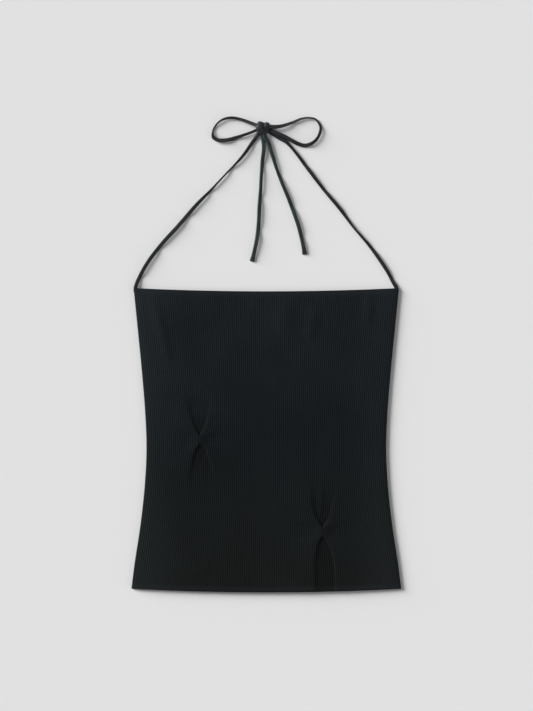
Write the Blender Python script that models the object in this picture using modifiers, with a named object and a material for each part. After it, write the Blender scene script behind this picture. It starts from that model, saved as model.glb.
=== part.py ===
"""A halter neck top in fine rib knit, lying flat on its back with its two ties tied in a bow.

The body is a tube of two panels sewn together at the sides, open at the neck edge and at the hem.
A narrow tie leaves each top corner. The ties meet in a bow above the neck edge, and their free
ends lie inside the neck opening.

Metres, +Z up. The back panel rests on z = 0, the hem faces -Y, the neck edge faces +Y and the
wearer's right side is at -X. The origin is in the middle of the panels, on the resting surface.
"""

import math

import bmesh
import bpy
import numpy as np

MM = 0.001

# ---------------------------------------------------------------- the panels, all in mm
SIDE_LENGTH = 420.6  # the side seam, from the top corner to the hem corner
NECK_DIP = 4.5  # the neck edge sinks this far in the middle
HEM_BOW = 5.0  # the hem hangs this far down in the middle
TOP_Y = (SIDE_LENGTH + HEM_BOW) / 2

# columns: distance down the side seam, half the panel's width there
SIDE_PROFILE = (
    (0, 185.6),
    (60, 179.6),
    (120, 173.8),
    (180, 169.1),
    (225, 167.6),
    (270, 169.6),
    (330, 175.9),
    (390, 184.9),
    (SIDE_LENGTH, 188.7),
)

SEAM_GAP = 0.3  # between pieces that are sewn or that touch
BACK_THICKNESS = 1.5
BACK_EDGE_ROUND = 0.4
FRONT_UNDERSIDE = BACK_THICKNESS + SEAM_GAP
FRONT_WALL = 1.2  # in the grooves between ribs
FRONT_LOFT = 0.8  # the front bows up this far over the back, between the seams
SEAM_ROLL = 1.0  # and this much more within SEAM_ROLL_WIDTH of a side seam
SEAM_ROLL_WIDTH = 8.0
FRONT_RIM = 0.6  # thickness of the front at its rounded edge
EDGE_ROUND = 2.5  # width over which the front rounds down to its edge

RIBS = 124  # across the front
RIB_HEIGHT = 0.5
COLUMNS = 2 * RIBS  # a rib is a crest between two grooves
INSIDE_EVERY = 16  # the plain inside has a column for every sixteenth one outside

# distances down the side seam at which every rib has a point
STATIONS = (0, EDGE_ROUND, 60, 115, 165, 210, 255, 300, 345, 385)
STATIONS += (SIDE_LENGTH - EDGE_ROUND, SIDE_LENGTH)

# ---------------------------------------------------------------- the pinched tucks, in mm
# columns: x and y where the cloth is caught
PINCHES = {
    "waist": (-92.8, 1.1),
    "hip": (78.3, -127.3),
}
CATCH_LENGTH = 9.4  # the lips stay together over this length
CATCH_HEIGHT = 1.3  # of the closed lips at the catch, where they fall away
CATCH_REACH = 11.0  # over this width
DRAW_SHARE = 0.35  # how much of the distance to the catch the ribs near it are drawn in
DRAW_REACH = 22.0
FLANK_START = 1.8  # width of a lip's inner side at the catch

# The folds that run out from the catches: each is a raised lip with a hollow on its inner side.
# columns: pinch, side (-1 left, 1 right), way (1 to the neck, -1 to the hem), length,
#          distance of the lip from the middle at an eighth, a quarter, half and all of it,
#          height, share of the height left at the end, share of that distance by which its inner
#          side widens, width of its gentle outer side
FOLDS = (
    ("waist", -1, 1, 58, 4.4, 7.9, 12.9, 20.0, 1.3, 0, 0.40, 26),
    ("waist", 1, 1, 58, 4.3, 7.2, 11.1, 16.0, 0.8, 0, 0.10, 30),
    ("waist", -1, -1, 58, 4.4, 7.2, 10.6, 15.5, 1.3, 0, 0.40, 16),
    ("waist", 1, -1, 58, 7.6, 10.2, 15.4, 21.0, 1.0, 0, 0.10, 30),
    ("hip", -1, 1, 66, 4.4, 8.8, 13.2, 15.5, 1.4, 0, 0.40, 26),
    ("hip", 1, 1, 66, 6.4, 10.5, 14.3, 28.0, 0.8, 0, 0.10, 30),
    ("hip", -1, -1, 86, 4.8, 7.4, 9.4, 7.5, 1.2, 0.6, 0.70, 26),
    ("hip", 1, -1, 86, 7.2, 12.6, 17.2, 18.5, 0.8, 0.6, 0.10, 30),
)
FADE_REACH = 1.25  # a fold is gone at this share of its length past the catch
ZONE_REACH = 14.0  # points lie closer together this far beyond a tuck's folds
ZONE_STEP = 6.8  # and this far apart down the panel
INSIDE_LOOK = 2.4  # the inside takes the lowest lift this far sideways and one step up or down

# ---------------------------------------------------------------- the ties, in mm
TIE_WIDTH = 5.3
TIE_THICKNESS = 1.8
SQUARE_END = 2.0  # a stretch runs straight for this far at each end
OFF_SURFACE = 0.02  # the ties clear the resting surface by this much

# Each stretch of tie: how many points its curve takes, then the places it passes.
# columns: x, y, clearance over the resting surface, twist in degrees (0 flat, 90 on edge)
TIES = {
    "strap_left": (
        12,
        (
            (-183.3, 213.2, 0.75, 0),
            (-183.2, 217.0, 0.5, 5),
            (-176.5, 230, 0, 40),
            (-165, 250, 0, 35),
            (-150, 270, 0, 20),
            (-123, 300, 0, -20),
            (-97, 330, 0, -55),
            (-77.5, 350, 0, -80),
            (-59, 370, 0, -85),
            (-31, 400, 0, -60),
            (-17, 420, 0.3, -40),
            (-7.5, 432.0, 1.2, -35),
        ),
    ),
    "strap_right": (
        13,
        (
            (183.3, 213.2, 0.75, 0),
            (183.0, 217.0, 0.5, -10),
            (173, 230, 0, -45),
            (160.5, 250, 0, -45),
            (146, 270, 0, -60),
            (120.5, 300, 0, -100),
            (106, 320, 0, -125),
            (81, 350, 0, -115),
            (58, 380, 0, -120),
            (43, 400, 0, -105),
            (33, 412, 0, -110),
            (27, 418, 0, -150),
            (18, 423, 0, -175),
            (9, 429, 0, -180),
            (0, 434.6, 0, -180),
        ),
    ),
    "bow_left": (
        20,
        (
            (-9, 438.3, 3.4, 25),
            (-20, 443, 2.6, 35),
            (-30, 447, 1.4, 45),
            (-40, 450, 0.5, 55),
            (-50, 451, 0, 65),
            (-60, 449, 0, 75),
            (-70, 441.5, 0, 90),
            (-75, 430, 0, 100),
            (-74, 424, 0, 110),
            (-68, 420, 0, 135),
            (-60, 419.5, 0, 145),
            (-50, 421, 0.2, 145),
            (-40, 424, 0.6, 135),
            (-30, 427.5, 1.3, 115),
            (-20, 431, 1.7, 100),
            (-9, 433.4, 2.0, 95),
        ),
    ),
    "bow_right": (
        20,
        (
            (1, 437.8, 4.5, -5),
            (10, 438, 4.3, -10),
            (20, 439, 3.2, -20),
            (30, 442, 1.8, -40),
            (40, 446, 0.8, -60),
            (50, 450, 0, -75),
            (60, 451, 0, -85),
            (69, 449, 0, -80),
            (73.5, 444, 0, -75),
            (76, 438, 0, -70),
            (75, 430, 0, -65),
            (70, 420.5, 0, -55),
            (62, 414.5, 0, -45),
            (54, 412.5, 0.2, -40),
            (45, 414.5, 1.0, -35),
            (35, 419.5, 1.9, -25),
            (25, 425, 2.3, -15),
            (9, 431.8, 2.2, 0),
            (1, 434.4, 2.2, 0),
        ),
    ),
    "tail_left": (
        8,
        (
            (-4.6, 434.0, 2.6, 10),
            (-4.2, 424.0, 2.3, 10),
            (-3.5, 410, 0.6, 30),
            (-5.5, 390, 0, 35),
            (-7, 370, 0, 40),
            (-8, 350, 0, 35),
            (-9.5, 330, 0, 30),
            (-11, 300, 0, 35),
            (-13.5, 280, 0, 30),
            (-15.5, 270, 0, 20),
            (-20, 250, 0, 5),
        ),
    ),
    "tail_right": (
        8,
        (
            (-3.4, 434.0, 0.3, 0),
            (-0.6, 423.0, 0, 10),
            (8, 400, 0, 25),
            (14.5, 380, 0, 35),
            (22, 360, 0, 35),
            (30.5, 340, 0, 35),
            (38, 320, 0, 30),
            (45, 300, 0, 35),
            (50, 280, 0, 25),
            (54, 260, 0, 5),
        ),
    ),
}

# ---------------------------------------------------------------- the knot, in mm
KNOT_MIDDLE = (-3.9, 436.0)
KNOT_RADII = (9.6, 6.8, 3.8)
TURN_ROUND = 1.6  # the turns' edges are rounded this much
# The ties wrap the core in two turns, each a flattened drum that lies on its side.
# columns: x and y of its middle, half width, half length, half height, lean in degrees off the Y axis
KNOT_TURNS = (
    (-6.6, 436.4, 6.0, 9.4, 4.3, 9),
    (2.2, 436.8, 3.2, 7.9, 3.9, -6),
)

GARMENT = "halter_neck_top"


# ---------------------------------------------------------------- helpers
def clear_scene():
    for obj in list(bpy.data.objects):
        bpy.data.objects.remove(obj, do_unlink=True)


def collection(name, hidden=False):
    made = bpy.data.collections.new(name)
    made.hide_render = hidden
    bpy.context.scene.collection.children.link(made)
    return made


def cloth(name, srgb_hex, roughness):
    """A plain dyed cloth, from its sRGB colour."""
    channels = [int(srgb_hex[i : i + 2], 16) / 255 for i in (0, 2, 4)]
    linear = [c / 12.92 if c <= 0.04045 else ((c + 0.055) / 1.055) ** 2.4 for c in channels]
    material = bpy.data.materials.new(name)
    material.use_nodes = True
    shader = material.node_tree.nodes["Principled BSDF"]
    shader.inputs["Base Color"].default_value = (*linear, 1)
    shader.inputs["Roughness"].default_value = roughness
    shader.inputs["Metallic"].default_value = 0
    return material


def smooth_through(table, at):
    """The value at `at` of a smooth curve through rows of (position, value)."""
    place, value = np.array(table, float).T
    slope = np.gradient(value, place)
    i = np.clip(np.searchsorted(place, at) - 1, 0, len(place) - 2)
    step = place[i + 1] - place[i]
    t = np.clip((at - place[i]) / step, 0, 1)
    start = (1 + 2 * t) * (1 - t) ** 2 * value[i] + t * (1 - t) ** 2 * step * slope[i]
    end = t * t * (3 - 2 * t) * value[i + 1] + t * t * (t - 1) * step * slope[i + 1]
    return start + end


def smooth_step(t):
    """0 up to t = 0, 1 from t = 1 on, and an S curve between."""
    t = np.clip(t, 0, 1)
    return t * t * (3 - 2 * t)


def mesh_object(name, points, faces, material, into):
    """An object from points in mm and faces, with its normals turned outward."""
    mesh = bpy.data.meshes.new(name)
    mesh.from_pydata([[c * MM for c in p] for p in points], [], faces)
    shape = bmesh.new()
    shape.from_mesh(mesh)
    bmesh.ops.recalc_face_normals(shape, faces=shape.faces)
    shape.to_mesh(mesh)
    shape.free()
    return mesh_into(name, mesh, material, into)


def mesh_into(name, mesh, material, into):
    obj = bpy.data.objects.new(name, mesh)
    mesh.materials.clear()
    mesh.materials.append(material)
    into.objects.link(obj)
    return obj


def made_mesh(obj, material, into):
    """A curve or a modified object as a plain mesh with its caps welded, in the object's place."""
    bpy.context.view_layer.update()
    graph = bpy.context.evaluated_depsgraph_get()
    mesh = bpy.data.meshes.new_from_object(obj.evaluated_get(graph))
    shape = bmesh.new()
    shape.from_mesh(mesh)
    bmesh.ops.remove_doubles(shape, verts=shape.verts, dist=0.001 * MM)
    bmesh.ops.recalc_face_normals(shape, faces=shape.faces)
    shape.to_mesh(mesh)
    shape.free()
    name = obj.name
    place = obj.matrix_world.copy()
    bpy.data.objects.remove(obj, do_unlink=True)
    new = mesh_into(name, mesh, material, into)
    new.matrix_world = place
    return new


def boolean(obj, operation, other):
    change = obj.modifiers.new(operation.lower() + " " + other.name, "BOOLEAN")
    change.operation = operation
    change.solver = "EXACT"
    change.object = other


# ---------------------------------------------------------------- the panels
def panel_point(across, down):
    """x and y of a panel's point: across runs from -1 to 1, down is in mm from the neck edge."""
    sag = NECK_DIP + (HEM_BOW - NECK_DIP) * down / SIDE_LENGTH
    x = across * smooth_through(SIDE_PROFILE, down)
    y = TOP_Y - down - sag * (1 - across**2)
    for pinch_x, pinch_y in PINCHES.values():
        away = ((x - pinch_x) ** 2 + (y - pinch_y) ** 2) / DRAW_REACH**2
        x -= (x - pinch_x) * DRAW_SHARE * math.exp(-away)
    return x, y


def fold_lift(fold, x, y):
    """How high one fold lifts the front there: steep on its inner side, gentle outside."""
    pinch, side, way, length, eighth, quarter, half, end, height, left, widening, reach = fold
    pinch_x, pinch_y = PINCHES[pinch]
    along = (y - pinch_y) * way
    if along < 0:
        return 0
    spread = (
        (0, 0),
        (length / 8, eighth),
        (length / 4, quarter),
        (length / 2, half),
        (length, end),
    )
    apart = smooth_through(spread, min(max(along - CATCH_LENGTH / 2, 0), length))
    together = 1 - smooth_step(along / CATCH_LENGTH - 0.5)
    outward = (x - pinch_x) * side - apart
    flank = smooth_step(outward / (FLANK_START + widening * apart) + 0.5 + 0.5 * together)
    reach = reach + (CATCH_REACH - reach) * together
    falling = math.exp(-((max(outward, 0) / reach) ** 2))
    height = height + (CATCH_HEIGHT - height) * together
    fading = 1 - (1 - left) * smooth_step((along / (length * FADE_REACH)) ** 1.2)
    return height * flank * falling * fading


def front_lift(x, y):
    """How far the tucks lift the front panel off its plain level."""
    return max(fold_lift(fold, x, y) for fold in FOLDS)


def front_base(across):
    """Height of the front panel's plain inside."""
    inwards = (1 - abs(across)) * SIDE_PROFILE[0][1]
    rolled = SEAM_ROLL * (1 - math.exp(-inwards / SEAM_ROLL_WIDTH))
    return FRONT_UNDERSIDE + FRONT_LOFT * (1 - across**4) + rolled


def tuck_zones():
    """For each tuck: the span of `across` and of `down` in which the wall takes closer points."""
    zones = []
    for name, (x, y) in PINCHES.items():
        folds = [fold for fold in FOLDS if fold[0] == name]
        left, right = (max(f[7] for f in folds if f[1] == side) for side in (-1, 1))
        above, below = (max(f[3] for f in folds if f[2] == way) for way in (1, -1))
        level = TOP_Y - y - NECK_DIP
        width = smooth_through(SIDE_PROFILE, level)
        across = ((x - left - ZONE_REACH) / width, (x + right + ZONE_REACH) / width)
        zones.append((across, (level - above, min(level + below, STATIONS[-2]))))
    return zones


def stations_of(across, zones):
    """The distances down the side at which the rib at `across` has a point."""
    places = list(STATIONS)
    for (left, right), (top, bottom) in zones:
        if left < across < right:
            places = [p for p in places if not top - ZONE_STEP / 2 < p < bottom + ZONE_STEP / 2]
            places += list(np.linspace(top, bottom, round((bottom - top) / ZONE_STEP) + 1))
    return sorted(set(places + [STATIONS[-2], STATIONS[-1]]))


def edge_share(across, down):
    """How full the wall is near the panel's edge: 0 on the edge, 1 from EDGE_ROUND inwards."""
    side = (1 - abs(across)) * SIDE_PROFILE[0][1]
    inwards = min(side, down, SIDE_LENGTH - down) / EDGE_ROUND
    return math.sqrt(1 - (1 - min(inwards, 1)) ** 2)


def front_outside(column, across, down):
    """Height of the ribbed outside: odd columns are crests and even ones are grooves."""
    x, y = panel_point(across, down)
    wall = FRONT_WALL + RIB_HEIGHT * (column % 2)
    full = edge_share(across, down)
    return x, y, front_base(across) + FRONT_RIM + (wall - FRONT_RIM + front_lift(x, y)) * full


def front_inside(column, across, down):
    """Height of the plain inside, which stays below the outside between its wider points."""
    x, y = panel_point(across, down)
    beside = (-INSIDE_LOOK, 0, INSIDE_LOOK)
    near = [front_lift(x + i, y + j) for i in beside for j in (-ZONE_STEP, 0, ZONE_STEP)]
    return x, y, front_base(across) + min(near) * edge_share(across, down)


def bridged(first, second, points):
    """Triangles between two chains of (place, point), both in order of place.

    Where both chains go on to the same place, the diagonal is the one that climbs less, so that
    it runs along a fold and not across it.
    """
    faces = []
    i = j = 0
    while i + 1 < len(first) or j + 1 < len(second):
        if j + 1 == len(second):
            ahead = True
        elif i + 1 == len(first):
            ahead = False
        elif abs(first[i + 1][0] - second[j + 1][0]) < 1e-6:
            one_way = points[first[i + 1][1]][2] - points[second[j][1]][2]
            other_way = points[first[i][1]][2] - points[second[j + 1][1]][2]
            ahead = abs(one_way) <= abs(other_way)
        else:
            ahead = first[i + 1][0] < second[j + 1][0]
        if ahead:
            faces.append((first[i][1], first[i + 1][1], second[j][1]))
            i += 1
        else:
            faces.append((first[i][1], second[j + 1][1], second[j][1]))
            j += 1
    return faces


def wall_side(columns, height, zones, points):
    """One side of the front's wall: its chains of points, a chain for each column."""
    chains = []
    for column in columns:
        across = -1 + 2 * column / COLUMNS
        chain = []
        for down in stations_of(across, zones):
            chain.append((down, len(points)))
            points.append(height(column, across, down))
        chains.append((across, chain))
    return chains


def in_zone(column, zones):
    return any(left < -1 + 2 * column / COLUMNS < right for (left, right), _ in zones)


def build_front(material, into):
    zones = tuck_zones()
    inside_columns = [
        c for c in range(COLUMNS + 1)
        if c % INSIDE_EVERY == 0 or c == COLUMNS or (c % 2 == 0 and in_zone(c, zones))
    ]
    points = []
    outer = wall_side(range(COLUMNS + 1), front_outside, zones, points)
    inner = wall_side(inside_columns, front_inside, zones, points)
    faces = []
    for side in (outer, inner):
        for (_, chain), (_, following) in zip(side, side[1:]):
            faces += bridged(chain, following, points)
    for end in (0, -1):
        faces += bridged(outer[end][1], inner[end][1], points)
        rims = [[(across, chain[end][1]) for across, chain in side] for side in (outer, inner)]
        faces += bridged(*rims, points)
    return mesh_object("front_panel", points, faces, material, into)


def build_back(material, into):
    """The back is the same outline, flat, with its edges rounded."""
    down_side = np.linspace(0, SIDE_LENGTH, 22)
    along_edge = np.linspace(-1, 1, 19)[1:-1]
    outline = [panel_point(-1, down) for down in down_side]
    outline += [panel_point(across, SIDE_LENGTH) for across in along_edge]
    outline += [panel_point(1, down) for down in down_side[::-1]]
    outline += [panel_point(across, 0) for across in along_edge[::-1]]
    curve = bpy.data.curves.new("back_panel", "CURVE")
    curve.dimensions = "2D"
    curve.fill_mode = "BOTH"
    curve.extrude = (BACK_THICKNESS / 2 - BACK_EDGE_ROUND) * MM
    curve.bevel_depth = BACK_EDGE_ROUND * MM
    curve.bevel_resolution = 1
    curve.offset = -BACK_EDGE_ROUND * MM
    spline = curve.splines.new("POLY")
    spline.use_cyclic_u = True
    spline.points.add(len(outline) - 1)
    for point, (x, y) in zip(spline.points, outline):
        point.co = (x * MM, y * MM, 0, 1)
    obj = bpy.data.objects.new("back_panel", curve)
    obj.location.z = BACK_THICKNESS / 2 * MM
    into.objects.link(obj)
    return made_mesh(obj, material, into)


# ---------------------------------------------------------------- the ties
def tie_section(into):
    """The tie's section: a flat strip with round edges, as a hidden curve for the ties to sweep."""
    half_width, half_thickness = TIE_WIDTH / 2, TIE_THICKNESS / 2
    curve = bpy.data.curves.new("tie_section", "CURVE")
    curve.dimensions = "2D"
    spline = curve.splines.new("POLY")
    spline.use_cyclic_u = True
    corners = []
    for side in (1, -1):
        for turn in (-90, -30, 30, 90):
            angle = math.radians(turn)
            x = half_width - half_thickness + half_thickness * math.cos(angle)
            corners.append((side * x, side * half_thickness * math.sin(angle)))
    spline.points.add(len(corners) - 1)
    for point, (x, y) in zip(spline.points, corners):
        point.co = (x * MM, y * MM, 0, 1)
    obj = bpy.data.objects.new("tie_section", curve)
    into.objects.link(obj)
    return obj


def swept(name, rows, section, into):
    """A strip along rows of (x, y, z, twist in radians), in mm."""
    curve = bpy.data.curves.new(name, "CURVE")
    curve.dimensions = "3D"
    curve.twist_mode = "Z_UP"
    curve.bevel_mode = "OBJECT"
    curve.bevel_object = section
    curve.use_fill_caps = True
    spline = curve.splines.new("POLY")
    spline.points.add(len(rows) - 1)
    for point, (x, y, z, twist) in zip(spline.points, rows):
        point.co = (x * MM, y * MM, z * MM, 1)
        point.tilt = twist
    obj = bpy.data.objects.new(name, curve)
    into.objects.link(obj)
    return obj


def tie_rows(count, places):
    """`count` even steps along a smooth curve through a stretch's places."""
    table = np.array(places, float)
    steps = np.hypot(*np.diff(table[:, :2], axis=0).T)
    run = np.concatenate([[0], np.cumsum(steps)])
    rows = []
    between = np.linspace(0, run[-1], count - 2)[1:-1]
    for at in (0, SQUARE_END, *between, run[-1] - SQUARE_END, run[-1]):
        x, y, clearance, degrees = (
            smooth_through(np.stack([run, column], 1), at) for column in table.T
        )
        twist = math.radians(degrees)
        round_edge = TIE_THICKNESS / 2
        reach = (TIE_WIDTH / 2 - round_edge) * abs(math.sin(twist)) + round_edge
        rows.append((x, y, max(clearance, 0) + reach + OFF_SURFACE, twist))
    return rows


# ---------------------------------------------------------------- the knot
def resting(obj, place, radii, grown, lean, into):
    """Gives a shape of half size 1 these half sizes, `grown` by so much, standing on z = 0."""
    for owner in list(obj.users_collection):
        owner.objects.unlink(obj)
    into.objects.link(obj)
    obj.location = (place[0] * MM, place[1] * MM, radii[2] * MM)
    obj.scale = [(radius + grown) * MM for radius in radii]
    obj.rotation_euler.z = math.radians(lean)


def knot_shape(name, grown, material, into):
    """The knot's core with the turns that wrap it. `grown` mm larger all round, it is a seat."""
    bpy.ops.mesh.primitive_uv_sphere_add(segments=20, ring_count=12, radius=1)
    core = bpy.context.object
    resting(core, KNOT_MIDDLE, KNOT_RADII, grown, 0, into)
    core.name = name
    core = made_mesh(core, material, into)
    for x, y, half_width, half_length, half_height, lean in KNOT_TURNS:
        bpy.ops.mesh.primitive_cylinder_add(
            vertices=22, radius=1, depth=2, rotation=(0, math.pi / 2, 0)
        )
        drum = bpy.context.object
        bpy.ops.object.transform_apply(rotation=True)
        resting(drum, (x, y), (half_width, half_length, half_height), grown, lean, CUTTERS)
        bpy.ops.object.transform_apply(rotation=True, scale=True)
        drum.name = name + "_turn"
        edge = drum.modifiers.new("round edge", "BEVEL")
        edge.width = TURN_ROUND * MM
        edge.segments = 2
        edge.limit_method = "ANGLE"
        edge.angle_limit = math.radians(50)
        boolean(core, "UNION", drum)
    return core


clear_scene()
PART = collection(GARMENT)
CUTTERS = collection("cutters", hidden=True)

knit = cloth("black_rib_knit", "16191c", 0.85)
tie_cloth = cloth("black_tie_cloth", "1a1c21", 0.7)

build_front(knit, PART)
build_back(knit, PART)

knot = knot_shape("knot", 0, tie_cloth, PART)
knot_seat = knot_shape("knot_seat", SEAM_GAP, tie_cloth, CUTTERS)
strip = tie_section(CUTTERS)
for stretch, (count, places) in TIES.items():
    tie = made_mesh(swept(stretch, tie_rows(count, places), strip, PART), tie_cloth, PART)
    boolean(tie, "DIFFERENCE", knot_seat)

for helper in CUTTERS.objects:
    helper.hide_render = True
    helper.display_type = "WIRE"
for obj in PART.objects:
    if obj.name not in ("front_panel", "back_panel"):
        obj.data.polygons.foreach_set("use_smooth", [True] * len(obj.data.polygons))
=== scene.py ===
"""A halter neck top in fine black rib knit, laid flat, with its two ties tied in a bow.

The sections follow the order in which the top is made: the two panels with their tucks, the side
seams, the ties and their knot, and then the table that it lies on. Metres, +Z up, hem towards -Y.
"""

import math

import bmesh
import bpy
import numpy as np
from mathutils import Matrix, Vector


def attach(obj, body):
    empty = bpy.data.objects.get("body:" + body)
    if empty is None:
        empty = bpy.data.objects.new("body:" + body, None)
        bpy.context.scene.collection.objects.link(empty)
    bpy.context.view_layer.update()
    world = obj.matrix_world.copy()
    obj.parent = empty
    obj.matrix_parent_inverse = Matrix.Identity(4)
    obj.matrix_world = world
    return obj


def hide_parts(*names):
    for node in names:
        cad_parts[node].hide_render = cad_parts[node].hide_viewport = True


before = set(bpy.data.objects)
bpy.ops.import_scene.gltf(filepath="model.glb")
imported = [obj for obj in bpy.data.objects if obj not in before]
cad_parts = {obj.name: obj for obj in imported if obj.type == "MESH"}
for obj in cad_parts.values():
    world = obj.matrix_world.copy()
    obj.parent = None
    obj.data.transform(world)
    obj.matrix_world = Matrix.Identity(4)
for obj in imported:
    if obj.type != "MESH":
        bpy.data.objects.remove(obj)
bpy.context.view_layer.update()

# ---------------------------------------------------------------------------------------------
# Back panel. One piece of fine vertical rib knit in a black viscose blend, cut to the body's
# outline. It lies flat on the table with its ribs down and its plain side up, and its edges are
# turned in and rounded by pressing.
# ---------------------------------------------------------------------------------------------
SIDE_LENGTH = 0.4206  # the side seam
NECK_DIP = 0.0045  # the neck edge sinks this far in the middle
HEM_BOW = 0.0050  # the hem hangs this far down in the middle
TOP_Y = (SIDE_LENGTH + HEM_BOW) / 2
# columns: distance down the side seam, half the panel's width there
SIDE_PROFILE = (
    (0.000, 0.1856),
    (0.060, 0.1796),
    (0.120, 0.1738),
    (0.180, 0.1691),
    (0.225, 0.1676),
    (0.270, 0.1696),
    (0.330, 0.1759),
    (0.390, 0.1849),
    (SIDE_LENGTH, 0.1887),
)
# x and y where the front is caught in its tucks: the ribs near a catch are drawn in towards it
WAIST_TUCK = (-0.0928, 0.0011)
HIP_TUCK = (0.0783, -0.1273)
DRAW_SHARE = 0.35
DRAW_REACH = 0.022

RIBS = 124
RIB_STEPS = 6  # points across a rib
RIB_HEIGHT = 0.00035
RIB_FULLNESS = 0.9  # under 1 makes round crests with narrow grooves between
KNIT_COURSE = 0.0016  # one row of stitches down the panel
BACK_THICKNESS = 0.0015
EDGE_ROUND = 0.0025  # width over which a panel rounds off to its edge
TURNED_WIDTH = 0.007  # the neck edge and the hem are turned in this far
TURNED_FADE = 0.0015  # and the turned-in cloth thins out to nothing over this width
TURNED_RIBS = 0.3  # share of the ribs' height left where the cloth is turned in and pressed


def linear(srgb_hex):
    """A colour's linear channels, and alpha 1."""
    channels = [int(srgb_hex[i : i + 2], 16) / 255 for i in (0, 2, 4)]
    return [*(c / 12.92 if c <= 0.04045 else ((c + 0.055) / 1.055) ** 2.4 for c in channels), 1]


def smooth_through(table, at):
    """The values at `at` of a smooth curve through rows of (position, value)."""
    place, value = np.array(table, float).T
    slope = np.gradient(value, place)
    i = np.clip(np.searchsorted(place, at) - 1, 0, len(place) - 2)
    step = place[i + 1] - place[i]
    t = np.clip((at - place[i]) / step, 0, 1)
    start = (1 + 2 * t) * (1 - t) ** 2 * value[i] + t * (1 - t) ** 2 * step * slope[i]
    end = t * t * (3 - 2 * t) * value[i + 1] + t * t * (t - 1) * step * slope[i + 1]
    return start + end


def smooth_step(t):
    """0 up to t = 0, 1 from t = 1 on, and an S curve between."""
    t = np.clip(t, 0, 1)
    return t * t * (3 - 2 * t)


def run_lengths(points):
    """How far along a route of points each of them lies."""
    return np.concatenate([[0], np.cumsum(np.linalg.norm(np.diff(points, axis=0), axis=1))])


def panel_place(across, down):
    """x and y of a panel's points: across runs from -1 to 1, down from 0 at the neck edge."""
    sag = NECK_DIP + (HEM_BOW - NECK_DIP) * down / SIDE_LENGTH
    x = across * smooth_through(SIDE_PROFILE, down)
    y = TOP_Y - down - sag * (1 - across**2)
    for catch_x, catch_y in (WAIST_TUCK, HIP_TUCK):
        away = ((x - catch_x) ** 2 + (y - catch_y) ** 2) / DRAW_REACH**2
        x = x - (x - catch_x) * DRAW_SHARE * np.exp(-away)
    return x, y


def edge_share(across, down):
    """0 on a panel's edge, 1 from EDGE_ROUND inwards, on a quarter circle between."""
    side = (1 - abs(across)) * SIDE_PROFILE[0][1]
    inwards = np.clip(np.minimum(side, np.minimum(down, SIDE_LENGTH - down)) / EDGE_ROUND, 0, 1)
    return np.sqrt(1 - (1 - inwards) ** 2)


def turned_share(down):
    """1 on the turned-in cloth along the neck edge and the hem, 0 on the single cloth."""
    from_edge = np.minimum(down, SIDE_LENGTH - down)
    return 1 - smooth_step((from_edge - TURNED_WIDTH) / TURNED_FADE)


def stepped(marks):
    """Positions from the first mark to the last. Rows of (position, step from there on)."""
    places = []
    for (start, step), (end, _) in zip(marks, marks[1:]):
        places += list(np.linspace(start, end, max(1, round((end - start) / step)), endpoint=False))
    return np.array([*places, marks[-1][0]])


def bridged(first, second):
    """Triangles between two chains of (place, point), each in order of place."""
    faces = []
    i = j = 0
    while i + 1 < len(first) or j + 1 < len(second):
        if j + 1 == len(second) or (i + 1 < len(first) and first[i + 1][0] <= second[j + 1][0]):
            faces.append((first[i][1], first[i + 1][1], second[j][1]))
            i += 1
        else:
            faces.append((first[i][1], second[j + 1][1], second[j][1]))
            j += 1
    return faces


def panel_wall(name, ribbed, plain, ribbed_level, plain_level):
    """A panel as a closed shell: a fine ribbed side and a coarse plain side, joined at the rim.

    ribbed and plain are (across, down) positions of each side's grid, and the levels give z.
    """
    points, faces, places, sides = [], [], [], []
    for (across, down), level in ((ribbed, ribbed_level), (plain, plain_level)):
        a, d = np.meshgrid(across, down)
        x, y = panel_place(a, d)
        number = np.arange(a.size).reshape(a.shape) + len(points)
        points += list(zip(x.ravel(), y.ravel(), level(a, d, x, y).ravel()))
        places += list(zip(a.ravel(), d.ravel()))
        quads = (number[:-1, :-1], number[:-1, 1:], number[1:, 1:], number[1:, :-1])
        faces += list(zip(*(q.ravel().tolist() for q in quads)))
        sides.append((across, down, number))
    for pick in ((0, slice(None)), (-1, slice(None)), (slice(None), 0), (slice(None), -1)):
        chains = [
            list(zip(across if pick[0] in (0, -1) else down, number[pick].tolist()))
            for across, down, number in sides
        ]
        faces += bridged(*chains)
    mesh = bpy.data.meshes.new(name)
    mesh.from_pydata(points, [], faces)
    across, down = np.array(places).T
    turned = turned_share(down)
    relief = edge_share(across, down) * (1 - (1 - TURNED_RIBS) * turned)
    # The turned-in share also sets where the knit's colour gets a painted sheen.
    for attribute, values in (
        ("across", (across + 1) / 2),
        ("relief", relief * (np.arange(len(points)) < sides[1][2].min())),
        ("pressed_sheen", turned),
    ):
        mesh.attributes.new(attribute, "FLOAT", "POINT").data.foreach_set("value", values)
    corner = np.zeros(len(mesh.loops), int)
    mesh.loops.foreach_get("vertex_index", corner)
    knit = np.stack([(across[corner] + 1) / 2 * RIBS, down[corner] / KNIT_COURSE], 1)
    mesh.uv_layers.new(name="knit").data.foreach_set("uv", knit.ravel())
    shape = bmesh.new()
    shape.from_mesh(mesh)
    bmesh.ops.recalc_face_normals(shape, faces=shape.faces)
    shape.to_mesh(mesh)
    shape.free()
    return shown(name, mesh)


def shown(name, mesh):
    obj = bpy.data.objects.new(name, mesh)
    bpy.context.scene.collection.objects.link(obj)
    mesh.polygons.foreach_set("use_smooth", [True] * len(mesh.polygons))
    return obj


def add(tree, kind, inputs=(), **settings):
    """Adds a node with its settings, and its inputs' values or the sockets that feed them."""
    node = tree.nodes.new(kind)
    for name, value in settings.items():
        setattr(node, name, value)
    for socket, value in dict(inputs).items():
        if isinstance(value, bpy.types.NodeSocket):
            tree.links.new(value, node.inputs[socket])
        else:
            node.inputs[socket].default_value = value
    return node


def maths(tree, operation, *values):
    """The result of one arithmetic node on these numbers or sockets."""
    return add(tree, "ShaderNodeMath", dict(enumerate(values)), operation=operation).outputs[0]


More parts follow.
